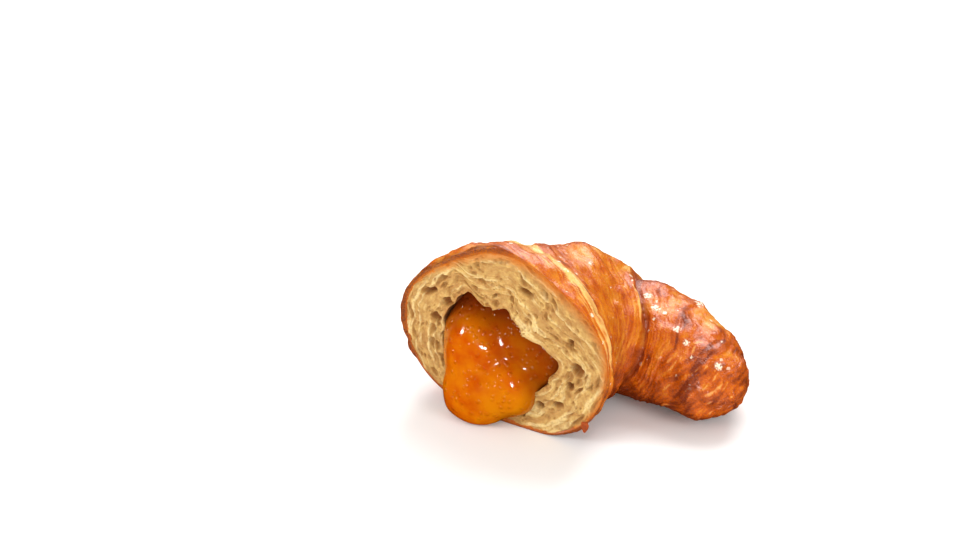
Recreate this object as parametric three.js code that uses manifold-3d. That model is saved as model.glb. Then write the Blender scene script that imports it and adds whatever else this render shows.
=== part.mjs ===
// Half of a jam-filled croissant, cut across its middle and lying on its baked base.
// Lengths are millimetres. +Z is up and the base rests on z = 0. The cut face looks along -Y.
// The roll leaves the cut along +Y, then bends round to +X, where the horn ends.

import * as THREE from "three";
import { ParametricGeometry } from "three/addons/geometries/ParametricGeometry.js";
import { mergeVertices } from "three/addons/utils/BufferGeometryUtils.js";
import Module from "manifold-3d";

// ---------------------------------------------------------------- driving dimensions

// The roll's centreline, seen from above.
const ROLL_LENGTH = 92; // from the cut face to the end of the horn
const BEND = THREE.MathUtils.degToRad(119); // how far the roll turns on its way to the horn
const BEND_START = 0.01; // shares of the length between which it turns
const BEND_END = 0.9;

// The roll's thickness.
const CUT_HALF_WIDTH = 33.4; // near the cut face
const HORN_HALF_WIDTH = 12.4; // at the horn
const TAPER = 0.5; // share of the length in which the extra width falls to a third
const TAPER_POWER = 1.6; // above 1, the roll stays full near the cut
const HEIGHT_SHARE = 0.87; // a section's height over its width
const SQUARENESS = 2.25; // 2 is an ellipse, and more is boxier
const SINK = 0.05; // share of a half height by which the roll has settled on its base
const HORN_CAP = 0.22; // share of the length over which the horn rounds off

// The rim of the cut face, where the knife has drawn the crust in.
const RIM_DRAW = 0.6; // all round
const RIM_DENT = 3.6; // more, on the two shoulders beside its top
const RIM_SHARE = 0.085; // share of the length that the rim takes
const OUTER_DENT_SHARE = 0.4; // and that the dent of the outer shoulder takes

// The wraps of dough, whose edges run round the roll as one long spiral.
const WRAPS = 3.11; // turns of the spiral edge between the cut face and the horn's end
const FIRST_EDGE = 0.72; // share of a turn at which the spiral passes the cut face
const WRAP_STEP = 2.4; // how far the surface drops at an edge
const WRAP_SWELL = 1.4; // how far a wrap puffs up between its edges
const SWELL_SKEW = 0.8; // below 1, a wrap is fullest near the crease that it rises out of
const EDGE_SHARE = 0.14; // share of a wrap's breadth that its rounded edge takes
const CALM_START = 0.6; // shares of the length between which the wraps flatten out over the horn
const CALM_END = 0.95;

// The second wrap stands proud in a hump on top.
const HUMP_HEIGHT = 3.2;
const HUMP_SHARE = 0.4; // where along the length its middle is
const HUMP_LENGTH = 0.075; // share of the length in which it falls to a third
const HUMP_SIDE = THREE.MathUtils.degToRad(95); // where round the roll its middle is
const HUMP_BREADTH = 0.18; // how far the cosine from there drops before it falls to a third

// On the inner side the edges lean towards the horn, by turns of the spiral.
const LEAN_AT_CUT = -0.14; // at the cut they lean the other way
const LEAN_RISE = 0.92; // what the lean gains over the middle of the roll
const LEAN_RISE_START = 0.12; // shares of the length between which it gains
const LEAN_RISE_END = 0.55;
const LEAN_FALL = 0.33; // what it loses again at the horn
const LEAN_FALL_START = 0.7;
const LEAN_FALL_END = 0.9;
const LEAN_SIDE = THREE.MathUtils.degToRad(15); // where round the roll they lean most
const LEAN_POWER = 3; // more keeps the lean closer to that side

// The pocket that the jam fills: its mouth on the cut face, as x and z, and its depth.
const MOUTH = [
  [19, 25.5],
  [15.7, 29],
  [6, 32],
  [1, 38.5],
  [-5, 36.5],
  [-12, 40.5],
  [-18.5, 31],
  [-20, 20],
  [-13, 10.5],
  [0, 8],
  [12.6, 15],
];
const POCKET_X = -1; // the line that it closes towards
const POCKET_Z = 25;
const POCKET_DEPTH = 36;
const POCKET_FRONT = 12; // how far its cutter reaches in front of the face

// The jam: a plug in the pocket, and what has run out over the cut face.
const JAM_GAP = 0.3; // clearance between the jam and the crumb
const PLUG_LEAN = THREE.MathUtils.degToRad(24); // how far the plug's front leans back at the top
const PLUG_PIVOT_Z = 27; // where its front meets the cut face
const SPILL_X = -7;
const SPILL_Z = 14.5;
const SPILL_HALF_WIDTH = 13.2;
const SPILL_HALF_HEIGHT = 18;
const SPILL_BULGE = 8.5; // how far it stands out from the cut face
const SPILL_SLANT = 0.22; // how far it runs sideways for each millimetre down
const SPILL_SAG = 0.16; // share by which it is fatter at the bottom
const SPILL_SAG_START = -0.2; // where down its height that begins, from -1 at its top to 1

// How finely the surfaces are faceted.
const SLICES = 60;
const STACKS = 44;
const JAM_SLICES = 40;
const JAM_STACKS = 22;
const CENTRELINE_STEPS = 48;
const MERGE_DISTANCE = 1e-4;

const COLOURS = { crust: 0xb5621b, jam: 0xd9690a };

// ---------------------------------------------------------------- the roll

const smooth = (from, to, x) => THREE.MathUtils.smoothstep(x, from, to);

// The centreline's heading, as an angle from +X, at a share of the length.
function headingAt(share) {
  return Math.PI / 2 - BEND * smooth(BEND_START, BEND_END, share);
}

// The centreline on the table, which starts at the cut face with its heading along +Y.
class RollCentreline extends THREE.Curve {
  getPoint(share, target = new THREE.Vector3()) {
    const step = (share * ROLL_LENGTH) / CENTRELINE_STEPS;
    target.set(0, 0, 0);
    for (let i = 0; i < CENTRELINE_STEPS; i++) {
      const heading = headingAt((share * (i + 0.5)) / CENTRELINE_STEPS);
      target.x += Math.cos(heading) * step;
      target.y += Math.sin(heading) * step;
    }
    return target;
  }
}
const centreline = new RollCentreline();

// Turns of the spiral edge that lie behind a point, at a share of the length and an angle round it.
// Whole numbers are on the edge itself.
function turnsAt(share, angle) {
  const lean =
    LEAN_AT_CUT +
    LEAN_RISE * smooth(LEAN_RISE_START, LEAN_RISE_END, share) -
    LEAN_FALL * smooth(LEAN_FALL_START, LEAN_FALL_END, share);
  const innerSide = Math.pow((1 + Math.cos(angle - LEAN_SIDE)) / 2, LEAN_POWER);
  return FIRST_EDGE + WRAPS * share - angle / (2 * Math.PI) - lean * innerSide;
}

// How far the surface stands above the smooth roll.
// Going towards the horn, each wrap rises out of a crease, swells and drops over its rounded edge.
function wrapRelief(share, angle) {
  const turns = turnsAt(share, angle);
  const across = turns - Math.floor(turns);
  const swell = WRAP_SWELL * Math.sin(Math.PI * Math.pow(across, SWELL_SKEW));
  const edge = smooth(1 - EDGE_SHARE, 1, across);
  const step = WRAP_STEP * ((across - 0.5) * (1 - edge) - 0.5 * edge);
  return (swell + step) * (1 - smooth(CALM_START, CALM_END, share));
}

// How far the hump stands above that.
function humpAt(share, angle) {
  const along = Math.pow((share - HUMP_SHARE) / HUMP_LENGTH, 2);
  const around = (1 - Math.cos(angle - HUMP_SIDE)) / HUMP_BREADTH;
  return HUMP_HEIGHT * Math.exp(-along - around);
}

// How far the crust is drawn in near the cut.
function rimDraw(share, angle) {
  const near = Math.exp(-Math.pow(share / RIM_SHARE, 2));
  const dentShare = Math.cos(angle) > 0 ? RIM_SHARE : OUTER_DENT_SHARE;
  const dented = Math.exp(-Math.pow(share / dentShare, 2));
  const shoulder = Math.sin(angle) > 0 ? Math.pow(Math.sin(2 * angle), 2) : 0;
  return RIM_DRAW * near + RIM_DENT * shoulder * dented;
}

// Half width of the smooth roll at a share of its length.
function halfWidthAt(share) {
  const extra = CUT_HALF_WIDTH - HORN_HALF_WIDTH;
  return HORN_HALF_WIDTH + extra * Math.exp(-Math.pow(share / TAPER, TAPER_POWER));
}

// The horn's rounded end: 1 along the roll, falling to 0 at the tip.
function capAt(share) {
  const past = Math.max(0, (share - (1 - HORN_CAP)) / HORN_CAP);
  return Math.sqrt(Math.max(0, 1 - past * past));
}

// A point of the roll's skin. u runs round the roll and v along it, from behind the cut to the tip.
const RUN_UP = 0.08; // share of the length that the skin starts behind the cut face
function rollSkin(u, v, target) {
  const angle = -(u % 1) * 2 * Math.PI;
  const share = -RUN_UP + (1 + RUN_UP) * v;
  const along = Math.max(share, 0);
  const halfWidth = halfWidthAt(along);
  const halfHeight = halfWidth * HEIGHT_SHARE;
  const outline = Math.pow(
    Math.pow(Math.abs(Math.cos(angle) / halfWidth), SQUARENESS) +
      Math.pow(Math.abs(Math.sin(angle) / halfHeight), SQUARENESS),
    -1 / SQUARENESS,
  );
  const closed = v === 0 ? 0 : capAt(along);
  const raised = wrapRelief(along, angle) + humpAt(along, angle);
  const reach = (outline + raised - rimDraw(along, angle)) * closed;
  const heading = headingAt(along);
  centreline.getPoint(along, target);
  target.y += Math.min(share, 0) * ROLL_LENGTH;
  target.x += Math.sin(heading) * Math.cos(angle) * reach;
  target.y -= Math.cos(heading) * Math.cos(angle) * reach;
  target.z = halfHeight * (1 - SINK) + Math.sin(angle) * reach;
}

// ---------------------------------------------------------------- the jam

const mouth = new THREE.CatmullRomCurve3(
  MOUTH.map(([x, z]) => new THREE.Vector3(x, 0, z)),
  true,
);

// A point of the pocket's wall, drawn in by a clearance. u runs round its mouth and v goes inwards.
// It keeps the mouth's outline in front of the face and closes like a bowl behind it.
function pocketSkin(clearance) {
  return (u, v, target) => {
    const depth = THREE.MathUtils.lerp(-POCKET_FRONT, POCKET_DEPTH - clearance, v);
    const bowl = Math.sqrt(Math.max(0, 1 - Math.pow(Math.max(0, depth) / POCKET_DEPTH, 2)));
    const close = v === 0 || v === 1 ? 0 : bowl;
    mouth.getPoint((1 - u) % 1, target);
    const fromAxis = Math.hypot(target.x - POCKET_X, target.z - POCKET_Z);
    const scale = close * (1 - clearance / fromAxis);
    target.x = POCKET_X + (target.x - POCKET_X) * scale;
    target.y = depth;
    target.z = POCKET_Z + (target.z - POCKET_Z) * scale;
  };
}

// A point of the mound of jam in front of the cut face.
function spillSkin(u, v, target) {
  const angle = -(u % 1) * 2 * Math.PI;
  const rise = Math.PI * v;
  const sag = 1 + SPILL_SAG * smooth(SPILL_SAG_START, 1, -Math.cos(rise));
  const ring = v === 0 || v === 1 ? 0 : Math.sin(rise) * sag;
  const height = SPILL_HALF_HEIGHT * Math.cos(rise);
  target.set(
    SPILL_X - SPILL_SLANT * height + SPILL_HALF_WIDTH * ring * Math.cos(angle),
    SPILL_BULGE * ring * Math.sin(angle),
    SPILL_Z + height,
  );
}

// ---------------------------------------------------------------- joining and cutting

const wasm = await Module();
wasm.setup();

// A closed three.js geometry as a manifold-3d solid.
function solidFrom(geometry) {
  const bare = geometry.clone();
  bare.deleteAttribute("normal");
  bare.deleteAttribute("uv");
  const merged = mergeVertices(bare, MERGE_DISTANCE);
  const triVerts = new Uint32Array(merged.index.array);
  const vertProperties = merged.attributes.position.array;
  return new wasm.Manifold(new wasm.Mesh({ numProp: 3, vertProperties, triVerts }));
}

// A manifold-3d solid as a three.js geometry.
function geometryFrom(solid) {
  const mesh = solid.getMesh();
  const geometry = new THREE.BufferGeometry();
  geometry.setAttribute("position", new THREE.BufferAttribute(mesh.vertProperties, 3));
  geometry.setIndex(new THREE.BufferAttribute(mesh.triVerts, 1));
  geometry.computeVertexNormals();
  return geometry;
}

// A big block whose +Y face has its middle at x, y and z, tipped about that point round X.
const BLOCK = 400;
function block(x, y, z, turnX = 0) {
  const geometry = new THREE.BoxGeometry(BLOCK, BLOCK, BLOCK);
  geometry.translate(0, -BLOCK / 2, 0);
  geometry.rotateX(turnX);
  geometry.translate(x, y, z);
  return solidFrom(geometry);
}
const beforeCut = block(0, 0, 0);
const behindSpill = block(0, BLOCK - JAM_GAP, 0);
const belowTable = block(0, 0, 0, Math.PI / 2);
const beforePlug = block(0, -2 * JAM_GAP, 0);
const abovePlug = block(0, 0, PLUG_PIVOT_Z, -PLUG_LEAN);

function pastrySolid() {
  const skin = solidFrom(new ParametricGeometry(rollSkin, SLICES, STACKS));
  const pocket = solidFrom(new ParametricGeometry(pocketSkin(0), JAM_SLICES, JAM_STACKS));
  return skin.subtract(belowTable).subtract(beforeCut).subtract(pocket);
}

function jamSolid() {
  const plug = solidFrom(new ParametricGeometry(pocketSkin(JAM_GAP), JAM_SLICES, JAM_STACKS));
  const spill = solidFrom(new ParametricGeometry(spillSkin, JAM_SLICES, JAM_STACKS));
  const recessed = plug.subtract(beforePlug).subtract(abovePlug);
  return recessed.add(spill.subtract(behindSpill)).subtract(belowTable);
}

// ---------------------------------------------------------------- the scene graph

function piece(name, solid, color, roughness) {
  const material = new THREE.MeshStandardMaterial({ color, roughness, metalness: 0 });
  const mesh = new THREE.Mesh(geometryFrom(solid), material);
  mesh.name = name;
  return mesh;
}

const croissantHalf = new THREE.Group();
croissantHalf.add(piece("baked_pastry", pastrySolid(), COLOURS.crust, 0.5));
croissantHalf.add(piece("apricot_jam", jamSolid(), COLOURS.jam, 0.15));

// The origin is under the middle of the half's bounding box.
const middle = new THREE.Box3().setFromObject(croissantHalf).getCenter(new THREE.Vector3());
croissantHalf.position.set(-middle.x, -middle.y, 0);

export default croissantHalf;
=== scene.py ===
"""Half of a jam-filled croissant, cut across its middle and lying on its baked base.

The crust, the crumb and the jam are modelled in the roll's own frame, in millimetres: the cut face
lies in the plane y = 0 and looks along -y, and the table is z = 0. place() then moves them into the
shared frame, in metres.
"""

import math

import bpy
import numpy as np
from mathutils import Matrix, Vector


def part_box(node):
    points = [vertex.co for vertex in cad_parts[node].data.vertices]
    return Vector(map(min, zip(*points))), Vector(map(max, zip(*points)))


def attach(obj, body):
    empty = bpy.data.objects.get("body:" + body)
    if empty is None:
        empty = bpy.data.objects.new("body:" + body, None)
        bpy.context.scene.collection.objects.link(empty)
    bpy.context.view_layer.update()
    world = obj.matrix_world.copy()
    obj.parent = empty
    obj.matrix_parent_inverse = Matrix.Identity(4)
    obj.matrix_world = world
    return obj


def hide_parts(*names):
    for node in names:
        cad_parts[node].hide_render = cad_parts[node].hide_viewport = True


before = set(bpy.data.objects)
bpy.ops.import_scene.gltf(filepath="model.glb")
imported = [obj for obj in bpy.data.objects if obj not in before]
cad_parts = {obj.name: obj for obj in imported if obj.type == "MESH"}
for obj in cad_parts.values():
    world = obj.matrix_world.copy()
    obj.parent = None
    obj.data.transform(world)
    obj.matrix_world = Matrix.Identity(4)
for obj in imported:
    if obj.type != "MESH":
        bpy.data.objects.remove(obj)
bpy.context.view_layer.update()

MM = 0.001

# ---------------------------------------------------------------- the roll's sizes

ROLL_LENGTH = 92
BEND = math.radians(119)
BEND_START, BEND_END = 0.01, 0.9
CUT_HALF_WIDTH, HORN_HALF_WIDTH = 33.4, 12.4
TAPER, TAPER_POWER = 0.5, 1.6  # how far along, and how suddenly, the roll thins
HEIGHT_SHARE = 0.87  # height over width
SQUARENESS = 2.25  # 2 is an ellipse
SINK = 0.05  # how much of the half height the roll has sunk on its base
HORN_CAP = 0.22
RIM_DRAW, RIM_DENT, RIM_SHARE = 0.6, 3.6, 0.085  # the cut draws the rim in, most at the shoulders
OUTER_DENT_SHARE = 0.4  # the outer shoulder stays flattened for longer than the rim
TABLE_SOFTNESS = 0.8  # how softly the underside runs into what rests on the table
WRAPS, FIRST_EDGE = 3.11, 0.72
LEAN_SIDE = math.radians(15)  # on the inner side the wraps lie further back
LEAN_AT_CUT, LEAN_RISE, LEAN_FALL = -0.14, 0.92, 0.33
WRAP_PITCH = ROLL_LENGTH / WRAPS
HUMP_HEIGHT, HUMP_SHARE, HUMP_LENGTH = 3.2, 0.4, 0.075  # the second wrap stands proud on top
HUMP_SIDE, HUMP_BREADTH = math.radians(95), 0.18
CALM_START, CALM_END = 0.55, 0.86  # the wraps flatten out over the horn

# the steps where one wrap of dough ends on the next
WRAP_STEP = 2.9
WRAP_SWELL = 1.4
EDGE_SHARE = 0.05
LIP_SHARE = 0.3  # where the paler, less baked lines along a wrap's edge begin
CREASE_SHARE = 0.07

# the cut face
CRUST_THICKNESS, TOP_CRUST = 0.55, 1.2  # everywhere, and what the outer shoulder has on top of it
TOP_CRUST_SIDE = math.radians(115)
FACE_DEPTH = 14  # how far the crumb is modelled behind the cut
# the pocket's mouth: x and z, from the inner side over the top
MOUTH = [
    (17.4, 22.4), (17.3, 26), (13.2, 29.4), (6, 32), (1, 38.5), (-5, 36.5), (-12, 40.5),
    (-18.5, 31), (-20, 20), (-13, 10.5), (0, 8), (12.6, 15),
]
POCKET_X, POCKET_Z = -1, 25
# the largest cells in the face: x and z of the middle, half length, half height, and slant
HOLLOWS = [
    (24.5, 25, 1.9, 1.5, -0.6), (-24.3, 37, 2.0, 0.8, 0.5), (-18.6, 35, 1.4, 1.2, 0.4),
    (-22.3, 28.8, 1.3, 1.4, 0.8), (22.1, 33.3, 0.8, 1.2, 0.2), (18.1, 11.4, 1.6, 0.9, 0.3),
    (12.5, 9.6, 1.1, 0.9, 0), (22.1, 18.9, 0.9, 1.1, 0.3), (7.5, 45.7, 2.2, 0.8, -0.4),
]


# ---------------------------------------------------------------- small helpers

def smooth(low, high, x):
    """0 below low, 1 above high, and smooth between."""
    t = np.clip((x - low) / (high - low), 0, 1)
    return t * t * (3 - 2 * t)


def srgb(hex_colour):
    """A linear RGBA colour from an sRGB hex value."""
    value = hex_colour.lstrip("#")
    parts = [int(value[i:i + 2], 16) / 255 for i in (0, 2, 4)]
    linear = [p / 12.92 if p <= 0.04045 else ((p + 0.055) / 1.055) ** 2.4 for p in parts]
    return (*linear, 1)


def add(tree, kind, inputs=None, output=0, **settings):
    """Adds a node with its settings and its inputs, each a value or a link, and gives one output."""
    node = tree.nodes.new(kind)
    for name, value in settings.items():
        setattr(node, name, value)
    for name, value in (inputs or {}).items():
        if isinstance(value, bpy.types.NodeSocket):
            tree.links.new(value, node.inputs[name])
        else:
            node.inputs[name].default_value = value
    return node.outputs[output]


def make_mesh(name, points, faces, attributes=None):
    """A smooth-shaded object from points in metres, with one number per point in each attribute."""
    mesh = bpy.data.meshes.new(name)
    mesh.from_pydata(points.tolist(), [], faces)
    corners = [(face[0], face[k], face[k + 1]) for face in faces for k in range(1, len(face) - 1)]
    a, b, c = (points[np.array(corners)[:, k]] for k in range(3))
    if np.einsum("ij,ij->i", a, np.cross(b, c)).sum() < 0:
        mesh.flip_normals()
    for key, values in (attributes or {}).items():
        kind = "FLOAT_VECTOR" if values.ndim == 2 else "FLOAT"
        layer = mesh.attributes.new(key, kind, "POINT")
        layer.data.foreach_set("vector" if values.ndim == 2 else "value", values.ravel())
    mesh.polygons.foreach_set("use_smooth", [True] * len(mesh.polygons))
    piece = bpy.data.objects.new(name, mesh)
    bpy.context.scene.collection.objects.link(piece)
    return piece


def ring_faces(rows, around, loop=False):
    """Quads between neighbouring rings of points, and from the last ring to the first in a loop."""
    faces = []
    for i in range(rows if loop else rows - 1):
        here, there = i * around, ((i + 1) % rows) * around
        faces += [(here + j, here + (j + 1) % around, there + (j + 1) % around, there + j)
                  for j in range(around)]
    return faces


def fan(ring_start, around, pole, backwards):
    """Triangles from one ring to a pole."""
    faces = []
    for j in range(around):
        edge = (ring_start + j, ring_start + (j + 1) % around)
        faces.append((edge[1], edge[0], pole) if backwards else (edge[0], edge[1], pole))
    return faces


def ball_mesh(centre, half_sizes, around=48, rows=25):
    """An ellipsoid as rings and two poles."""
    rise = np.linspace(0, math.pi, rows + 2)[1:-1]
    turn = 2 * math.pi * np.arange(around) / around
    R, T = np.meshgrid(rise, turn, indexing="ij")
    unit = np.stack([np.sin(R) * np.cos(T), np.sin(R) * np.sin(T), np.cos(R)], -1).reshape(-1, 3)
    points = np.concatenate([unit, [(0, 0, 1), (0, 0, -1)]]) * half_sizes + centre
    faces = ring_faces(rows, around)
    faces += fan(0, around, len(unit), True)
    faces += fan((rows - 1) * around, around, len(unit) + 1, False)
    return points, faces


def grow(piece, tree, sizes):
    """Runs a geometry tree on a piece with its sizes, and keeps the result as a plain mesh."""
    modifier = piece.modifiers.new(tree.name, "NODES")
    modifier.node_group = tree
    for item in tree.interface.items_tree:
        if item.item_type == "SOCKET" and item.in_out == "INPUT" and item.name in sizes:
            modifier[item.identifier] = sizes[item.name]
    depsgraph = bpy.context.evaluated_depsgraph_get()
    mesh = bpy.data.meshes.new_from_object(
        piece.evaluated_get(depsgraph), preserve_all_data_layers=True, depsgraph=depsgraph)
    piece.modifiers.remove(modifier)
    piece.data = mesh
    return piece


def geometry_tree(name, sizes):
    """An empty geometry tree with a named number input for each size, and all its input sockets."""
    tree = bpy.data.node_groups.new(name, "GeometryNodeTree")
    tree.interface.new_socket("Geometry", in_out="INPUT", socket_type="NodeSocketGeometry")
    for size in sizes:
        tree.interface.new_socket(size, in_out="INPUT", socket_type="NodeSocketFloat")
    tree.interface.new_socket("Geometry", in_out="OUTPUT", socket_type="NodeSocketGeometry")
    return tree, tree.nodes.new("NodeGroupInput").outputs


def grown_place(tree):
    """Where each point of a growing piece lies, in millimetres."""
    position = add(tree, "GeometryNodeInputPosition")
    return add(tree, "ShaderNodeVectorMath", {0: position, "Scale": 1 / MM}, operation="SCALE")


def pile_up(tree, patterns, start=0.0):
    """Adds patterns up, each times its own number or size."""
    total = start
    for pattern, size in patterns:
        total = add(tree, "ShaderNodeMath", {
            0: pattern, 1: size, 2: total}, operation="MULTIPLY_ADD")
    return total


def push_out(tree, geometry, lift):
    """Moves each point outwards by its lift."""
    normal = add(tree, "GeometryNodeInputNormal")
    offset = add(tree, "ShaderNodeVectorMath", {0: normal, "Scale": lift}, operation="SCALE")
    return add(tree, "GeometryNodeSetPosition", {"Geometry": geometry, "Offset": offset})


def finish_tree(tree, geometry, material, patterns):
    """Keeps patterns for the material, then ends in Realize Instances and Set Material."""
    for name, pattern in patterns.items():
        geometry = add(tree, "GeometryNodeStoreNamedAttribute", {
            "Geometry": geometry, "Name": name, "Value": pattern,
        }, data_type="FLOAT", domain="POINT")
    real = add(tree, "GeometryNodeRealizeInstances", {"Geometry": geometry})
    dressed = add(tree, "GeometryNodeSetMaterial", {"Geometry": real, "Material": material})
    way_out = tree.nodes.new("NodeGroupOutput")
    tree.links.new(dressed, way_out.inputs[0])


# ---------------------------------------------------------------- the roll's formula

# the centreline, worked out in short steps along the roll
STATIONS = np.linspace(0, 1, 2001)
STATION_HEADING = math.pi / 2 - BEND * smooth(BEND_START, BEND_END, STATIONS)
step_heading = (STATION_HEADING[1:] + STATION_HEADING[:-1]) / 2
step_count = len(step_heading)
STATION_X = np.concatenate([[0], np.cumsum(np.cos(step_heading))]) * ROLL_LENGTH / step_count
STATION_Y = np.concatenate([[0], np.cumsum(np.sin(step_heading))]) * ROLL_LENGTH / step_count


def facing(angle, side):
    """1 on the side of the roll that lies at an angle round it, falling to 0 opposite."""
    return (1 + np.cos(angle - side)) / 2


def turns_at(share, angle):
    """Turns of the spiral edge at a share of the length and an angle round the roll."""
    lean = (LEAN_AT_CUT + LEAN_RISE * smooth(0.12, 0.55, share)
            - LEAN_FALL * smooth(0.7, 0.9, share))
    inner_side = facing(angle, LEAN_SIDE) ** 3
    return FIRST_EDGE + WRAPS * share - angle / (2 * math.pi) - lean * inner_side


def wrap_relief(share, angle):
    """How far the wraps stand above the smooth roll."""
    across = turns_at(share, angle) % 1
    swell = WRAP_SWELL * np.sin(math.pi * across ** 0.8)
    edge = smooth(1 - EDGE_SHARE, 1, across)
    step = WRAP_STEP * ((across - 0.5) * (1 - edge) - 0.5 * edge)
    crease = 0.7 * (1 - smooth(0, CREASE_SHARE, across))
    return (swell + step - crease) * (1 - smooth(CALM_START, CALM_END, share))


def hump(share, angle):
    """The rise where the second wrap stands proud on top of the roll."""
    along = ((share - HUMP_SHARE) / HUMP_LENGTH) ** 2
    around = (1 - np.cos(angle - HUMP_SIDE)) / HUMP_BREADTH
    return HUMP_HEIGHT * np.exp(-along - around)


def reach_at(share, angle):
    """The distance from the centreline to the skin, before the horn's cap rounds it off."""
    half_width = HORN_HALF_WIDTH + (CUT_HALF_WIDTH - HORN_HALF_WIDTH) * np.exp(
        -(share / TAPER) ** TAPER_POWER)
    half_height = half_width * HEIGHT_SHARE
    outline = (np.abs(np.cos(angle) / half_width) ** SQUARENESS
               + np.abs(np.sin(angle) / half_height) ** SQUARENESS) ** (-1 / SQUARENESS)
    shoulder = np.where(np.sin(angle) > 0, np.sin(2 * angle) ** 2, 0)
    reach_back = np.where(np.cos(angle) > 0, RIM_SHARE, OUTER_DENT_SHARE)
    rim = (RIM_DRAW * np.exp(-(share / RIM_SHARE) ** 2)
           + RIM_DENT * shoulder * np.exp(-(share / reach_back) ** 2))
    return outline + wrap_relief(share, angle) + hump(share, angle) - rim, half_height


def cap_at(share):
    """The horn's rounded end: 1 along the roll, falling to 0 at its tip."""
    past = np.clip((share - (1 - HORN_CAP)) / HORN_CAP, 0, 1)
    return np.sqrt(1 - past ** 2)


def settle(z, floor):
    """Flattens what would sink below a floor, with a soft edge."""
    return floor + ((z - floor) + np.sqrt((z - floor) ** 2 + TABLE_SOFTNESS ** 2)) / 2


def thickness_at(angle):
    """The crust's thickness, greatest on the outer shoulder."""
    return CRUST_THICKNESS + TOP_CRUST * facing(angle, TOP_CRUST_SIDE) ** 4


def roll_point(share, angle, inset=0, opening=1, floor=0):
    """A point at an inset under the skin, at a share of the length and an angle round the roll.

    The opening is 1 along the roll and falls to 0 where the horn closes.
    """
    reach, half_height = reach_at(share, angle)
    reach = (reach - inset) * opening
    heading = np.interp(share, STATIONS, STATION_HEADING)
    x = np.interp(share, STATIONS, STATION_X) + np.sin(heading) * np.cos(angle) * reach
    y = np.interp(share, STATIONS, STATION_Y) - np.cos(heading) * np.cos(angle) * reach
    z = settle(half_height * (1 - SINK) + np.sin(angle) * reach, floor)
    return np.stack([x, y, z], -1)


# The roll's frame meets the shared frame at the pastry's low x, the cut plane and the table. The
# skin is widest at the rim or a little behind it.
pastry_low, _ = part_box("baked_pastry")
near_rim = np.meshgrid((0, 0.1), np.linspace(0, 2 * math.pi, 361), indexing="ij")
skin_low_x = roll_point(*near_rim)[..., 0].min()
ORIGIN = Vector((pastry_low[0] - skin_low_x * MM, pastry_low[1], 0))


def place(points):
    """Points of the roll's frame, in millimetres, as points of the shared frame, in metres."""
    return points * MM + np.array(ORIGIN)


# ---------------------------------------------------------------- crust

CRUST_AROUND = 330
CAP_ROWS, BODY_ROWS, WALL_ROWS = 68, 203, 13
EDGE_DEPTHS = (0.15, 0.5, 0.85)  # the rows over the cut edge, in crust thicknesses
WALL_GAP = 2.5  # what the inner wall keeps from the crust
EDGE_FLOOR = 0.9  # how high the inner wall stays above the table
DOUGH_RADIUS = 25  # turns an angle round the roll into a length of dough
# the crust's relief: heights in metres, and spacings in millimetres
CRUST_RELIEF = {
    "Swell Height": 0.9 * MM,
    "Wrinkle Height": 0.3 * MM,
    "Wrinkle Spacing": 2.6,
    "Streak Height": 0.14 * MM,
    "Streak Spacing": 1.0,
    "Blister Height": 0.5 * MM,
    "Blister Spacing": 5.0,
    "Grain Height": 0.22 * MM,
}
# painted highlights, pale glints on the crust: share of the length, degrees round the roll, and
# radius
GLINTS = [
    (0.26, 78, 1.4), (0.38, 76, 0.9), (0.53, 95, 1.0), (0.59, 90, 1.6), (0.64, 78, 1.5),
    (0.68, 76, 0.8), (0.76, 68, 1.3), (0.815, 66, 1.2), (0.93, 80, 1.3), (0.3, 150, 1.4),
    (0.55, 170, 1.2), (0.7, 130, 1.5), (0.42, 120, 1.0),
]
FLAKE_AT = (27.4, -0.3, 7.2)
FLAKE_HALF_SIZES = (1.2, 0.3, 1.9)


def crust_rows():
    """The rows of the skin from the horn's tip to the rim, over the cut edge and down a wall.

    Each row has a share of the length, an opening, a depth in crust thicknesses, a gap behind the
    crust and a floor that it stays above.
    """
    cap_turn = np.linspace(math.pi / 2, 0, CAP_ROWS + 2)[1:-1]
    cap_share = 1 - HORN_CAP + HORN_CAP * np.sin(cap_turn)
    body_share = np.linspace(1 - HORN_CAP, 0, BODY_ROWS)
    wall_share = np.linspace(0, FACE_DEPTH / ROLL_LENGTH, WALL_ROWS + 1)[1:]
    share = np.concatenate([cap_share, body_share, np.zeros(len(EDGE_DEPTHS)), wall_share])
    opening = np.concatenate([np.cos(cap_turn), np.ones(len(share) - CAP_ROWS)])
    depth = np.concatenate([np.zeros(CAP_ROWS + BODY_ROWS), EDGE_DEPTHS, np.ones(WALL_ROWS)])
    gap = np.zeros(len(share))
    gap[-WALL_ROWS:] = WALL_GAP * smooth(0, 0.04, wall_share)
    floor = np.where(depth > 0.5, EDGE_FLOOR, 0)
    return share, opening, depth, gap, floor


def layers_at(share, angle, points):
    """How far along the dough's layers a point lies: with the wraps, and aslant over the horn."""
    with_wraps = turns_at(share, angle) * WRAP_PITCH
    aslant = 0.75 * points[..., 0] - 0.67 * points[..., 2]
    meeting = np.abs(share - 0.8) < 0.02
    aslant += (with_wraps - aslant)[meeting].mean()
    on_horn = smooth(0.68, 0.88, share)
    return with_wraps * (1 - on_horn) + aslant * on_horn


def pale_lips(share, angle, across, height):
    """The less baked dough on both sides of a wrap's edge, strongest up on the inner side."""
    lip = smooth(1 - LIP_SHARE, 1, across) * (1 - smooth(0.96, 1, across))
    beyond = smooth(0.03, 0.06, across) * (1 - smooth(0.09, 0.2, across)) * (share < 0.45)
    lip = np.maximum(lip, beyond) * smooth(22, 32, height)
    lip *= smooth(0.3, 0.72, facing(angle, math.radians(60)))
    lip *= 1 - 0.6 * smooth(0.15, 0.42, share) - 0.4 * smooth(0.6, 0.8, share)
    inner_side = smooth(0.5, 0.9, facing(angle, math.radians(20)))
    return lip + 0.22 * smooth(0.7, 0.84, share) * inner_side


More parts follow.
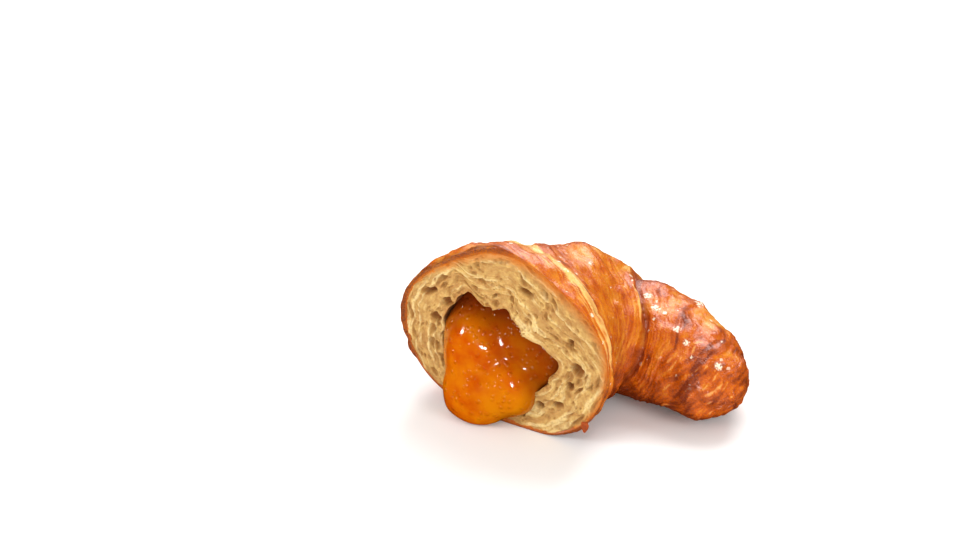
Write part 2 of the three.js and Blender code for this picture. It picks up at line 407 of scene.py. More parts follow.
def shaded_browned_creases(share, across):
    """Painted shade down in the steps between wraps, with browner dough there, which fades out over
    the horn.
    """
    crease = (1 - smooth(0, CREASE_SHARE, across)) + smooth(0.955, 1, across)
    return crease * (1 - 0.95 * smooth(0.62, 0.76, share))


def browned_cut(share, angle, depth):
    """The dark edge of the cut crust, which stays amber for a stretch on the inner side."""
    round_from_amber = (np.degrees(angle) - 30 + 180) % 360 - 180
    browned = smooth(35, 75, round_from_amber) + smooth(20, 50, -round_from_amber)
    reach = 0.02 + 0.04 * smooth(60, 90, round_from_amber)
    on_skin = 1 - smooth(0.2 * reach, reach, share)
    over_edge = 1 - smooth(0.45, 0.85, depth)
    return browned * np.where(depth == 0, on_skin, over_edge)


def glint_mask(points):
    """1 on the painted highlights of the crust and 0 around them."""
    mask = np.zeros(points.shape[:-1])
    for share, degrees, radius in GLINTS:
        middle = roll_point(np.array(share), math.radians(degrees), opening=cap_at(share))
        far = np.linalg.norm(points - middle, axis=-1)
        mask = np.maximum(mask, np.exp(-(far / radius) ** 2))
    return mask


def make_crust(material):
    """The baked skin from the horn's tip to the rim, with an inner wall behind the rim."""
    rows = crust_rows()
    share, opening, depth, gap, floor = (np.repeat(v[:, None], CRUST_AROUND, 1) for v in rows)
    round_once = -math.pi / 2 + 2 * math.pi * np.arange(CRUST_AROUND) / CRUST_AROUND
    angle = np.repeat(round_once[None], len(share), 0)
    points = roll_point(share, angle, depth * thickness_at(angle) + gap, opening, floor)
    height = points[..., 2]
    across = turns_at(share, angle) % 1
    outer = (depth == 0).astype(float)
    patterns = {
        "across": across,
        "lip": pale_lips(share, angle, across, height) * outer,
        "crease": shaded_browned_creases(share, across) * outer,
        "upper": smooth(1.0, 4.0, height) * outer,
        "outer": outer,
        "cut_edge": browned_cut(share, angle, depth),
        "glint": glint_mask(points),
        "share": share,
    }
    # two more points close the horn's tip and the end of the wall
    tip = roll_point(np.array(1.0), np.array(0.0), opening=0)
    wall_end = points[-1].mean(0)
    all_points = np.concatenate([points.reshape(-1, 3), [tip, wall_end]])
    attributes = {name: np.append(values, (float(name in ("outer", "share")), 0.0))
                  for name, values in patterns.items()}
    dough = np.stack([layers_at(share, angle, points), angle * DOUGH_RADIUS, 0 * angle], -1)
    attributes["dough"] = np.concatenate([dough.reshape(-1, 3), np.zeros((2, 3))])
    faces = ring_faces(len(share), CRUST_AROUND)
    faces += fan(0, CRUST_AROUND, share.size, True)
    faces += fan(share.size - CRUST_AROUND, CRUST_AROUND, share.size + 1, False)
    crust = make_mesh("crust", place(all_points), faces, attributes)
    return grow(crust, crust_tree(material), CRUST_RELIEF)


def make_flake(material):
    """A loose flake of crust that hangs from the rim, low on its inner side."""
    points, faces = ball_mesh(np.zeros(3), np.array(FLAKE_HALF_SIZES), 24, 13)
    points[:, 0] *= 1 + 0.4 * points[:, 2] / FLAKE_HALF_SIZES[2]
    points[:, 1] += 0.22 * points[:, 0] ** 2
    facts = {"outer": 1.0, "across": 0.6, "crease": 0.6, "puff": 0.0}
    attributes = {name: np.full(len(points), value) for name, value in facts.items()}
    flake = make_mesh("flake", place(points + FLAKE_AT), faces, attributes)
    flake.data.materials.append(material)
    return flake


def dough_lines(tree, sizes, dough):
    """Wrinkles and finer streaks that follow the dough's layers, so they run round the roll."""
    lines = []
    for kind, stretch, detail, roughness, low in (
            ("Wrinkle", 0.11, 3.0, 0.6, 0.3), ("Streak", 0.045, 2.0, 0.55, 0.32)):
        drawn_out = add(tree, "ShaderNodeVectorMath", {
            0: dough, 1: (1.0, stretch, 1.0)}, operation="MULTIPLY")
        scale = add(tree, "ShaderNodeMath", {
            0: 1.0, 1: sizes[kind + " Spacing"]}, operation="DIVIDE")
        line = add(tree, "ShaderNodeTexNoise", {
            "Vector": drawn_out, "Scale": scale, "Detail": detail, "Roughness": roughness})
        lines.append(add(tree, "ShaderNodeMapRange", {
            "Value": line, "From Min": low, "From Max": 1 - low, "To Min": -1.0, "To Max": 1.0}))
    return lines


def blisters(tree, sizes, place_mm):
    """Low domes of steam under the skin, in some of the cells of a random pattern."""
    scale = add(tree, "ShaderNodeMath", {0: 1.0, 1: sizes["Blister Spacing"]}, operation="DIVIDE")
    far = add(tree, "ShaderNodeTexVoronoi", {"Vector": place_mm, "Scale": scale}, output="Distance")
    dome = add(tree, "ShaderNodeMapRange", {
        "Value": far, "From Min": 0.1, "From Max": 0.42, "To Min": 1.0, "To Max": 0.0,
    }, interpolation_type="SMOOTHSTEP")
    chosen = add(tree, "FunctionNodeSeparateColor", {"Color": far.node.outputs["Color"]})
    chosen = add(tree, "ShaderNodeMapRange", {"Value": chosen, "From Min": 0.45, "From Max": 0.9})
    return add(tree, "ShaderNodeMath", {0: dome, 1: chosen}, operation="MULTIPLY")


def crust_tree(material):
    """Lifts the skin in broad swells, wrinkles that run round the roll, blisters and grain."""
    tree, sizes = geometry_tree("baked_skin", CRUST_RELIEF)
    dough = add(tree, "GeometryNodeInputNamedAttribute", {"Name": "dough"}, data_type="FLOAT_VECTOR")
    upper = add(tree, "GeometryNodeInputNamedAttribute", {"Name": "upper"}, data_type="FLOAT")
    place_mm = grown_place(tree)
    sway = add(tree, "ShaderNodeTexNoise", {
        "Vector": place_mm, "Scale": 0.12, "Detail": 1.0}, output=1)
    swayed = add(tree, "ShaderNodeVectorMath", {
        0: sway, 1: (4.0, 4.0, 4.0), 2: dough}, operation="MULTIPLY_ADD")
    wrinkle, streak = dough_lines(tree, sizes, swayed)
    # broad, uneven puffing
    puff = add(tree, "ShaderNodeTexNoise", {"Vector": place_mm, "Scale": 0.09, "Detail": 1.5})
    puff = add(tree, "ShaderNodeMapRange", {
        "Value": puff, "From Min": 0.3, "From Max": 0.7, "To Min": -1.0, "To Max": 1.0})
    blister = blisters(tree, sizes, place_mm)
    grain = add(tree, "ShaderNodeTexNoise", {
        "Vector": place_mm, "Scale": 1.1, "Detail": 3.0, "Roughness": 0.65})
    grain = add(tree, "ShaderNodeMath", {0: grain, 1: 0.5}, operation="SUBTRACT")
    lift = pile_up(tree, [
        (puff, sizes["Swell Height"]), (wrinkle, sizes["Wrinkle Height"]),
        (streak, sizes["Streak Height"]), (blister, sizes["Blister Height"]),
        (grain, sizes["Grain Height"])])
    lift = add(tree, "ShaderNodeMath", {0: lift, 1: upper}, operation="MULTIPLY")
    moved = push_out(tree, sizes["Geometry"], lift)
    finish_tree(tree, moved, material, {
        "wrinkle": wrinkle, "streak": streak, "blister": blister, "puff": puff})
    return tree


# ---------------------------------------------------------------- crumb

CRUMB_AROUND, CRUMB_ACROSS = 620, 110
CRUMB_OVERLAP = 0.35  # how far the crumb reaches into the crust
CRUMB_FLOOR = 0.7
CELL_RADIUS = 25.0  # turns an angle about the pocket into a length
# the crumb's relief: depths into the face in metres, and the rest in millimetres
CRUMB_RELIEF = {
    "Cell Length": 3.8,
    "Cell Height": 2.2,
    "Cell Depth": 1.1 * MM,
    "Pore Length": 1.8,
    "Pore Height": 1.1,
    "Pore Depth": 0.5 * MM,
    "Layer Height": 1.5,
    "Layer Depth": 0.5 * MM,
    "Hollow Depth": 2.6 * MM,
    "Web Roughness": 0.45 * MM,
    "Face Sway": 0.7 * MM,
}


def polar(points):
    """Angles about the pocket's middle, rising, and the distances there, wrapped past both ends."""
    dx, dz = points[:, 0] - POCKET_X, points[:, 1] - POCKET_Z
    turn, far = np.arctan2(dz, dx), np.hypot(dx, dz)
    order = np.argsort(turn)
    turn, far = turn[order], far[order]
    full = 2 * math.pi
    return np.concatenate([turn - full, turn, turn + full]), np.tile(far, 3)


def spline(corners, steps=24):
    """A closed smooth curve through corners."""
    p = np.array(corners, float)
    before, after, later = (np.roll(p, k, 0) for k in (1, -1, -2))
    t = (np.arange(steps) / steps)[:, None, None]
    curve = 0.5 * (2 * p + (after - before) * t + (2 * before - 5 * p + 4 * after - later) * t ** 2
                   + (3 * p - before - 3 * after + later) * t ** 3)
    return curve.transpose(1, 0, 2).reshape(-1, 2)


def mouth_at(turn):
    """How far the pocket's mouth is from its middle."""
    return np.interp(turn, *polar(spline(MOUTH)))


def rim_at(turn):
    """How far the inside of the crust is from the pocket's middle, in the cut face."""
    angle = np.linspace(0, 2 * math.pi, 1440, endpoint=False)
    inset = thickness_at(angle) - CRUMB_OVERLAP
    rim = roll_point(np.zeros(len(angle)), angle, inset, floor=CRUMB_FLOOR)
    return np.interp(turn, *polar(rim[:, [0, 2]]))


def crumb_section():
    """The ring's section: shares of the way from the pocket to the crust, and depths.

    It runs out over the face, back along the crust, in behind and out along the pocket.
    """
    back = FACE_DEPTH - 1
    across = np.linspace(0, 1, CRUMB_ACROSS)
    share = np.concatenate([across, np.ones(6), np.linspace(1, 0, 12), np.zeros(16)])
    depth = np.concatenate([np.zeros(CRUMB_ACROSS), np.linspace(0, back, 8)[1:-1],
                            np.full(12, back), np.linspace(back, 0, 18)[1:-1]])
    return share, depth


def hollow_mask(points):
    """1 in the largest cells of the face and 0 around them."""
    mask = np.zeros(points.shape[:-1])
    for x, z, half_length, half_height, slant in HOLLOWS:
        dx, dz = points[..., 0] - x, points[..., 2] - z
        along = dx * math.cos(slant) + dz * math.sin(slant)
        aside = dz * math.cos(slant) - dx * math.sin(slant)
        mask = np.maximum(mask, np.exp(-(along / half_length) ** 4 - (aside / half_height) ** 4))
    return mask


def make_crumb(material):
    """A ring of crumb between the pocket and the crust: its face, its sides and its hidden back."""
    share, depth = (np.repeat(v[:, None], CRUMB_AROUND, 1) for v in crumb_section())
    round_once = -math.pi + 2 * math.pi * np.arange(CRUMB_AROUND) / CRUMB_AROUND
    turn = np.repeat(round_once[None], len(share), 0)
    torn = 0.45 * np.sin(7 * turn + 1) + 0.3 * np.sin(13 * turn + 2.1) + 0.2 * np.sin(24 * turn)
    mouth = mouth_at(turn) + torn
    width = rim_at(turn) - mouth
    # behind the face the ring draws in, away from the crust
    far = (mouth + width * share) * (1 - 0.3 * smooth(0, 10, depth) * share)
    points = np.stack([POCKET_X + far * np.cos(turn), depth, POCKET_Z + far * np.sin(turn)], -1)
    layers = np.stack([np.cos(turn), np.sin(turn), width * share], -1)
    attributes = {
        "layers": layers.reshape(-1, 3),
        "from_mouth": (width * share).ravel(),
        "to_rim": (width * (1 - share)).ravel(),
        "on_face": (depth == 0).astype(float).ravel(),
        "turn": turn.ravel(),
        "inward": depth.ravel(),
        "hollow": hollow_mask(points).ravel(),
    }
    faces = ring_faces(len(share), CRUMB_AROUND, loop=True)
    crumb = make_mesh("crumb", place(points.reshape(-1, 3)), faces, attributes)
    return grow(crumb, crumb_tree(material), CRUMB_RELIEF)


def open_cells(tree, sizes, kind, layers, wave):
    """Rounded pits of one kind, drawn out along the layers, with a thin wall between them."""
    long_scale = add(tree, "ShaderNodeMath", {
        0: CELL_RADIUS, 1: sizes[kind + " Length"]}, operation="DIVIDE")
    high_scale = add(tree, "ShaderNodeMath", {
        0: 1.0, 1: sizes[kind + " Height"]}, operation="DIVIDE")
    scale = add(tree, "ShaderNodeCombineXYZ", {"X": long_scale, "Y": long_scale, "Z": high_scale})
    stretched = add(tree, "ShaderNodeVectorMath", {0: layers, 1: scale}, operation="MULTIPLY")
    waved = add(tree, "ShaderNodeVectorMath", {
        0: wave, 1: (0.9, 0.9, 0.9), 2: stretched}, operation="MULTIPLY_ADD")
    wall = add(tree, "ShaderNodeTexVoronoi", {
        "Vector": waved, "Scale": 1.0}, output="Distance", feature="DISTANCE_TO_EDGE")
    cell = add(tree, "ShaderNodeTexVoronoi", {"Vector": waved, "Scale": 1.0}, output="Color")
    chosen = add(tree, "FunctionNodeSeparateColor", {"Color": cell})
    chosen = add(tree, "ShaderNodeMapRange", {"Value": chosen, "From Min": 0.45, "From Max": 0.9})
    pit = add(tree, "ShaderNodeMapRange", {
        "Value": wall, "From Min": 0.04, "From Max": 0.3}, interpolation_type="SMOOTHSTEP")
    return add(tree, "ShaderNodeMath", {0: pit, 1: chosen}, operation="MULTIPLY")


def dough_layers(tree, sizes, layers, wave):
    """Thin wavy sheets of dough that follow the pocket round."""
    thin = add(tree, "ShaderNodeMath", {0: 1.0, 1: sizes["Layer Height"]}, operation="DIVIDE")
    scale = add(tree, "ShaderNodeCombineXYZ", {"X": 1.5, "Y": 1.5, "Z": thin})
    flattened = add(tree, "ShaderNodeVectorMath", {0: layers, 1: scale}, operation="MULTIPLY")
    waved = add(tree, "ShaderNodeVectorMath", {
        0: wave, 1: (1.2, 1.2, 1.2), 2: flattened}, operation="MULTIPLY_ADD")
    layer = add(tree, "ShaderNodeTexNoise", {"Vector": waved, "Scale": 1.0, "Detail": 2.0})
    return add(tree, "ShaderNodeMapRange", {"Value": layer, "From Min": 0.35, "From Max": 0.65})


def crumb_tree(material):
    """Sinks cells and pores into the face, stretched along the layers of dough."""
    tree, sizes = geometry_tree("open_crumb", CRUMB_RELIEF)
    layers = add(tree, "GeometryNodeInputNamedAttribute", {
        "Name": "layers"}, data_type="FLOAT_VECTOR")
    on_face, to_rim, hollow = (
        add(tree, "GeometryNodeInputNamedAttribute", {"Name": name}, data_type="FLOAT")
        for name in ("on_face", "to_rim", "hollow"))
    place_mm = grown_place(tree)
    wave = add(tree, "ShaderNodeTexNoise", {
        "Vector": place_mm, "Scale": 0.16, "Detail": 2.0}, output=1)
    pore = open_cells(tree, sizes, "Pore", layers, wave)
    cell = open_cells(tree, sizes, "Cell", layers, wave)
    # the crumb is denser just under the crust
    inside = add(tree, "ShaderNodeMapRange", {
        "Value": to_rim, "From Min": 0.3, "From Max": 2.5}, interpolation_type="SMOOTHSTEP")
    cell = add(tree, "ShaderNodeMath", {0: cell, 1: inside}, operation="MULTIPLY")
    layer = dough_layers(tree, sizes, layers, wave)
    web = add(tree, "ShaderNodeTexNoise", {
        "Vector": place_mm, "Scale": 0.9, "Detail": 4.0, "Roughness": 0.65})
    web = add(tree, "ShaderNodeMath", {0: web, 1: 0.5}, operation="SUBTRACT")
    sway = add(tree, "ShaderNodeTexNoise", {"Vector": place_mm, "Scale": 0.09, "Detail": 1.0})
    sway = add(tree, "ShaderNodeMath", {0: sway, 1: 0.5}, operation="SUBTRACT")
    depth = pile_up(tree, [
        (cell, sizes["Cell Depth"]), (pore, sizes["Pore Depth"]), (layer, sizes["Layer Depth"]),
        (hollow, sizes["Hollow Depth"]), (web, sizes["Web Roughness"]), (sway, sizes["Face Sway"])])
    depth = add(tree, "ShaderNodeMath", {0: depth, 1: on_face}, operation="MULTIPLY")
    offset = add(tree, "ShaderNodeCombineXYZ", {"Y": depth})
    moved = add(tree, "GeometryNodeSetPosition", {"Geometry": sizes["Geometry"], "Offset": offset})
    finish_tree(tree, moved, material, {"cell": cell, "pore": pore, "layer": layer})
    return tree


# ---------------------------------------------------------------- jam

# lobes of the spill: middle and half sizes
LOBES = [
    ((-9.3, 7.0, 19), (12.6, 13.0, 16.6)),
    ((-8.0, -1.0, 8), (10.8, 8.0, 11.5)),
    ((0.8, 3.0, 12), (11.0, 9.2, 10.6)),
]
PLUG_AROUND, PLUG_FRONT_ROWS, PLUG_SIDE_ROWS = 160, 13, 12
PLUG_OVERLAP = 0.5  # how far the plug reaches into the crumb
FRONT_INSET = 0.2
JAM_VOXEL, JAM_SMOOTHINGS = 0.5, 60
JAM_FLOOR = 0.2
JAM_RELIEF = {"Lump Height": 0.35 * MM, "Lump Spacing": 6.0, "Pulp Height": 0.2 * MM}


def plug_mesh():
    """The jam inside the pocket, with a front that leans back at the top and on the right."""
    front_share = np.linspace(0, 1, PLUG_FRONT_ROWS + 1)[1:]
    side_depth = np.linspace(0, FACE_DEPTH - 1.5, PLUG_SIDE_ROWS + 1)[1:]
    share = np.concatenate([front_share, np.ones(PLUG_SIDE_ROWS)])[:, None]
    depth = np.concatenate([np.zeros(PLUG_FRONT_ROWS), side_depth])[:, None]
    turn = -math.pi + 2 * math.pi * np.arange(PLUG_AROUND) / PLUG_AROUND
    far = (mouth_at(turn) + PLUG_OVERLAP) * share
    x = POCKET_X + far * np.cos(turn)
    z = POCKET_Z + far * np.sin(turn)
    lean = 0.5 * np.clip(z - 28, 0, None) + 0.16 * np.clip(x - 4, 0, None)
    meniscus = -0.3 * smooth(0.82, 1, share) * smooth(0.5, 2, lean)
    y = np.maximum(depth, lean + meniscus + FRONT_INSET)
    points = np.stack([x, y, z], -1).reshape(-1, 3)
    front_middle = (POCKET_X, FRONT_INSET, POCKET_Z)
    rear_middle = points[-PLUG_AROUND:].mean(0)
    faces = ring_faces(len(share), PLUG_AROUND)
    faces += fan(0, PLUG_AROUND, len(points), True)
    faces += fan(len(points) - PLUG_AROUND, PLUG_AROUND, len(points) + 1, False)
    return np.concatenate([points, [front_middle, rear_middle]]), faces


def make_jam(material):
    """The plug and the lobes, melted into one smooth body that rests on the table."""
    parts = [plug_mesh()] + [ball_mesh(np.array(c, float), np.array(h, float)) for c, h in LOBES]
    points, faces = np.zeros((0, 3)), []
    for part_points, part_faces in parts:
        faces += [tuple(len(points) + k for k in face) for face in part_faces]
        points = np.concatenate([points, part_points])
    jam = make_mesh("jam", place(points), faces)
    melt = jam.modifiers.new("melt", "REMESH")
    melt.mode = "VOXEL"
    melt.voxel_size = JAM_VOXEL * MM
    relax = jam.modifiers.new("relax", "SMOOTH")
    relax.factor = 0.5
    relax.iterations = JAM_SMOOTHINGS
    return grow(jam, jam_tree(material), JAM_RELIEF)


def jam_tree(material):
    """Raises soft lumps and small grains of pulp on the jam, and flattens it on the table."""
    tree, sizes = geometry_tree("soft_lumps", JAM_RELIEF)
    place_mm = grown_place(tree)
    spaced = add(tree, "ShaderNodeMath", {0: 1.0, 1: sizes["Lump Spacing"]}, operation="DIVIDE")
    lump = add(tree, "ShaderNodeTexNoise", {"Vector": place_mm, "Scale": spaced, "Detail": 1.0})
    lump = add(tree, "ShaderNodeMapRange", {
        "Value": lump, "From Min": 0.3, "From Max": 0.7, "To Min": -1.0, "To Max": 1.0})
    pulp = add(tree, "ShaderNodeTexVoronoi", {"Vector": place_mm, "Scale": 0.32}, output="Distance")
    pulp = add(tree, "ShaderNodeMapRange", {
        "Value": pulp, "From Min": 0.0, "From Max": 0.3, "To Min": 1.0, "To Max": 0.0,
    }, interpolation_type="SMOOTHSTEP")
    lift = pile_up(tree, [(lump, sizes["Lump Height"]), (pulp, sizes["Pulp Height"])])
    moved = push_out(tree, sizes["Geometry"], lift)
    height = add(tree, "ShaderNodeSeparateXYZ", {
        0: add(tree, "GeometryNodeInputPosition")}, output="Z")
    lifted = add(tree, "ShaderNodeMath", {0: height, 1: JAM_FLOOR * MM}, operation="MAXIMUM")
    rested = add(tree, "ShaderNodeCombineXYZ", {
        "X": height.node.outputs["X"], "Y": height.node.outputs["Y"], "Z": lifted})
    moved = add(tree, "GeometryNodeSetPosition", {"Geometry": moved, "Position": rested})
    moved = add(tree, "GeometryNodeSetShadeSmooth", {"Geometry": moved})
    finish_tree(tree, moved, material, {})
    return tree


# ---------------------------------------------------------------- materials

# the crust's colours as it bakes
BAKED_COLOURS = [(0.2, "#efa746"), (0.42, "#e07f10"), (0.62, "#cc5a00"), (0.9, "#802e05")]


def new_material(name):
    """An empty material and its tree."""
    material = bpy.data.materials.new(name)
    material.use_nodes = True
    tree = material.node_tree
    tree.nodes.clear()
    return material, tree


def close_material(tree, shader):
    """Links the shader to the surface output."""
    way_out = tree.nodes.new("ShaderNodeOutputMaterial")
    tree.links.new(shader, way_out.inputs["Surface"])


def painted_place(tree):
    """Where each spot of a finished piece lies, in millimetres."""
    position = add(tree, "ShaderNodeTexCoord", output="Object")
    return add(tree, "ShaderNodeMapping", {"Vector": position, "Scale": (1 / MM, 1 / MM, 1 / MM)})


def read_facts(tree, names):
    """The patterns that a piece's mesh carries, by name."""
    return {name: add(tree, "ShaderNodeAttribute", output="Fac", attribute_name=name)
            for name in names}


def paint(tree, colour, coats):
    """Lays coats over a colour one after another: where each goes, its colour and its strength."""
    for where, hex_colour, strength in coats:
        share = add(tree, "ShaderNodeMath", {
            0: where, 1: strength}, operation="MULTIPLY", use_clamp=True)
        colour = add(tree, "ShaderNodeMix", {
            0: share, 6: colour, 7: srgb(hex_colour)}, output=2, data_type="RGBA")
    return colour


def baked_colour(tree, fact, place_mm, height, fine):
    """Golden where the dough is high and pale, to dark brown where it is thin or low."""
    patches = add(tree, "ShaderNodeTexNoise", {
        "Vector": place_mm, "Scale": 0.14, "Detail": 4.0, "Roughness": 0.6})
    # darker towards the horn, and low down towards the table
    towards_horn = add(tree, "ShaderNodeMapRange", {
        "Value": fact["share"], "From Min": 0.5, "From Max": 0.8, "To Min": 0.0, "To Max": 0.04})
    low_down = add(tree, "ShaderNodeMapRange", {
        "Value": height, "From Min": 0.0, "From Max": 24.0, "To Min": 0.34, "To Max": 0.0})
    # just past each step: painted shade beside the crease, with browner dough
    beside_edge = add(tree, "ShaderNodeMapRange", {
        "Value": fact["across"], "From Min": 0.03, "From Max": 0.35, "To Min": 0.14, "To Max": 0.0})
    tone = pile_up(tree, [
        (fine, 0.3), (patches, 1.0), (fact["wrinkle"], 0.13), (fact["puff"], 0.08),
        (fact["streak"], -0.12), (beside_edge, 1.0), (towards_horn, 1.0), (low_down, 1.0),
    ], start=-0.15)
    ramp = tree.nodes.new("ShaderNodeValToRGB")
    for k, (at, colour) in enumerate(BAKED_COLOURS):
        stop = ramp.color_ramp.elements[k] if k < 2 else ramp.color_ramp.elements.new(at)
        stop.position = at
        stop.color = srgb(colour)
    tree.links.new(tone, ramp.inputs[0])
    return ramp.outputs[0]


def painted_glints(tree, fact, place_mm, height, fine):
    """Painted highlights: ragged pale glints, and small specks strewn over the top."""
    ragged = add(tree, "ShaderNodeTexNoise", {"Vector": place_mm, "Scale": 1.5, "Detail": 2.0})
    ragged = add(tree, "ShaderNodeMapRange", {"Value": ragged, "From Min": 0.3, "From Max": 0.6})
    ragged = add(tree, "ShaderNodeMath", {0: fact["glint"], 1: ragged}, operation="MULTIPLY")
    glint = add(tree, "ShaderNodeMapRange", {"Value": ragged, "From Min": 0.25, "From Max": 0.5})
    far = add(tree, "ShaderNodeTexVoronoi", {"Vector": place_mm, "Scale": 0.4}, output="Distance")
    chosen = add(tree, "ShaderNodeSeparateColor", {"Color": far.node.outputs["Color"]})
    radius = add(tree, "ShaderNodeMapRange", {
        "Value": chosen, "From Min": 0.7, "From Max": 1.0, "To Min": -0.22, "To Max": 0.03})
    uneven = add(tree, "ShaderNodeMath", {0: fine, 1: -0.45, 2: far}, operation="MULTIPLY_ADD")
    speck = add(tree, "ShaderNodeMath", {0: uneven, 1: radius}, operation="LESS_THAN")
    on_top = add(tree, "ShaderNodeMapRange", {"Value": height, "From Min": 14.0, "From Max": 24.0})
    speck = add(tree, "ShaderNodeMath", {0: speck, 1: on_top}, operation="MULTIPLY")
    return add(tree, "ShaderNodeMath", {0: glint, 1: speck}, operation="MAXIMUM")


def baked_crust():
    """Egg-washed dough, baked: golden to red-brown, glossy on the swellings, and dark in the creases
    with painted shade over browner dough.
    """
    material, tree = new_material("baked_egg_washed_crust")
    place_mm = painted_place(tree)
    height = add(tree, "ShaderNodeSeparateXYZ", {0: place_mm}, output="Z")
    fact = read_facts(tree, ("lip", "crease", "wrinkle", "streak", "blister", "puff", "cut_edge",
                             "outer", "share", "across", "glint"))
    fine = add(tree, "ShaderNodeTexNoise", {"Vector": place_mm, "Scale": 1.8, "Detail": 3.0})
    lip = add(tree, "ShaderNodeMath", {
        0: fact["streak"], 1: 0.4, 2: fact["lip"]}, operation="MULTIPLY_ADD")
    lip = add(tree, "ShaderNodeMapRange", {"Value": lip, "From Min": 0.42, "From Max": 0.8})
    lip = add(tree, "ShaderNodeMath", {0: lip, 1: fact["outer"]}, operation="MULTIPLY")
    glint = painted_glints(tree, fact, place_mm, height, fine)
    inner = add(tree, "ShaderNodeMath", {0: 1.0, 1: fact["outer"]}, operation="SUBTRACT")
    torn = add(tree, "ShaderNodeMapRange", {
        "Value": fine, "From Min": 0.36, "From Max": 0.6, "To Min": 0.35, "To Max": 1.0})
    cut_edge = add(tree, "ShaderNodeMath", {0: fact["cut_edge"], 1: torn}, operation="MULTIPLY")
    # the crease coat is painted shade over browner dough, and the glint coat is painted highlights
    colour = paint(tree, baked_colour(tree, fact, place_mm, height, fine), [
        (lip, "#ffc66e", 1.0), (fact["blister"], "#b5450a", 0.4), (glint, "#ffedcf", 0.9),
        (fact["crease"], "#8a3203", 0.65), (inner, "#b65c08", 0.75), (cut_edge, "#74350e", 1.0)])
    rough = add(tree, "ShaderNodeMapRange", {
        "Value": fine, "From Min": 0.3, "From Max": 0.7, "To Min": 0.22, "To Max": 0.46})
    rough = add(tree, "ShaderNodeMath", {
        0: fact["crease"], 1: 0.4, 2: rough}, operation="MULTIPLY_ADD")
    bump = add(tree, "ShaderNodeBump", {"Height": fine, "Strength": 1.0, "Distance": 0.38 * MM})
    close_material(tree, add(tree, "ShaderNodeBsdfPrincipled", {
        "Base Color": colour, "Roughness": rough, "Normal": bump, "IOR": 1.4,
        "Coat Weight": 0.45, "Coat Roughness": 0.22}))
    return material


def amber_band(tree, fact, mottle):
    """The uneven amber band just under the crust, widest on the inner side."""
    inner_side = add(tree, "ShaderNodeMath", {0: fact["turn"], 1: 0.95}, operation="SUBTRACT")
    inner_side = add(tree, "ShaderNodeMath", {0: inner_side}, operation="COSINE")
    width = add(tree, "ShaderNodeMapRange", {
        "Value": inner_side, "From Min": -0.2, "To Min": 1.2, "To Max": 4.6})
    uneven = add(tree, "ShaderNodeMath", {
        0: mottle, 1: 1.1, 2: fact["to_rim"]}, operation="MULTIPLY_ADD")
    return add(tree, "ShaderNodeMapRange", {
        "Value": uneven, "From Min": 0.4, "From Max": width, "To Min": 1.0, "To Max": 0.0})


def open_crumb():
    """Baked dough inside: a pale, matte web of thin walls with painted shade in its hollows, denser
    by the crust.
    """
    material, tree = new_material("open_layered_crumb")
    place_mm = painted_place(tree)
    fact = read_facts(tree, ("cell", "pore", "layer", "hollow", "to_rim", "from_mouth", "inward",
                             "turn"))
    mottle = add(tree, "ShaderNodeTexNoise", {
        "Vector": place_mm, "Scale": 0.5, "Detail": 4.0, "Roughness": 0.6})
    mottle = add(tree, "ShaderNodeMapRange", {"Value": mottle, "From Min": 0.35, "From Max": 0.65})
    crumbs = add(tree, "ShaderNodeTexNoise", {"Vector": place_mm, "Scale": 1.3, "Detail": 2.0})
    crumbs = add(tree, "ShaderNodeMapRange", {"Value": crumbs, "From Min": 0.52, "From Max": 0.68})
    pale = add(tree, "ShaderNodeMapRange", {
        "Value": fact["layer"], "From Min": 0.0, "From Max": 0.4, "To Min": 1.0, "To Max": 0.0})
    # darker on the walls behind the face, and painted shade along the pocket's mouth
    behind_face = add(tree, "ShaderNodeMapRange", {
        "Value": fact["inward"], "From Min": 0.3, "From Max": 1.5})
    mouth_shade = add(tree, "ShaderNodeMapRange", {
        "Value": fact["from_mouth"], "From Min": 0.0, "From Max": 1.6, "To Min": 1.0, "To Max": 0.0})
    # the cell, pore, layer and hollow coats are painted shade in the pits and grooves
    colour = paint(tree, srgb("#d6b268"), [
        (mottle, "#a97d42", 1.0), (pale, "#e2cb92", 0.55), (crumbs, "#a9763a", 0.5),
        (fact["layer"], "#aa7840", 0.6), (fact["cell"], "#9c6830", 0.7),
        (fact["pore"], "#9c6a34", 0.6), (fact["hollow"], "#8a4c16", 0.9),
        (amber_band(tree, fact, mottle), "#c06400", 1.0), (mouth_shade, "#a05a18", 0.3),
        (behind_face, "#6e3208", 0.8)])
    fine = add(tree, "ShaderNodeTexNoise", {"Vector": place_mm, "Scale": 2.2, "Detail": 3.0})
    bump = add(tree, "ShaderNodeBump", {"Height": fine, "Strength": 0.5, "Distance": 0.2 * MM})
    close_material(tree, add(tree, "ShaderNodeBsdfPrincipled", {
        "Base Color": colour, "Roughness": 0.75, "Normal": bump, "IOR": 1.4,
        "Subsurface Weight": 0.2, "Subsurface Radius": (1.6, 1.0, 0.5), "Subsurface Scale": MM}))
    return material


def painted_jam_light(tree, x, z):
    """Painted light on the jam: a glow along its thin outer edge, and the lit front of its low inner
    lobe.
    """
    origin_x = ORIGIN.x / MM
    outer_edge = add(tree, "ShaderNodeMapRange", {
        "Value": x, "From Min": origin_x - 20.5, "From Max": origin_x - 16, "To Min": 0.8,
        "To Max": 0.0})
    lit_lobe = add(tree, "ShaderNodeMapRange", {
        "Value": x, "From Min": origin_x - 6, "From Max": origin_x + 2})
    low = add(tree, "ShaderNodeMapRange", {
        "Value": z, "From Min": 7.0, "From Max": 19.0, "To Min": 0.5, "To Max": 0.0})
    lit_lobe = add(tree, "ShaderNodeMath", {0: lit_lobe, 1: low}, operation="MULTIPLY")
    return add(tree, "ShaderNodeMath", {0: outer_edge, 1: lit_lobe}, operation="MAXIMUM")


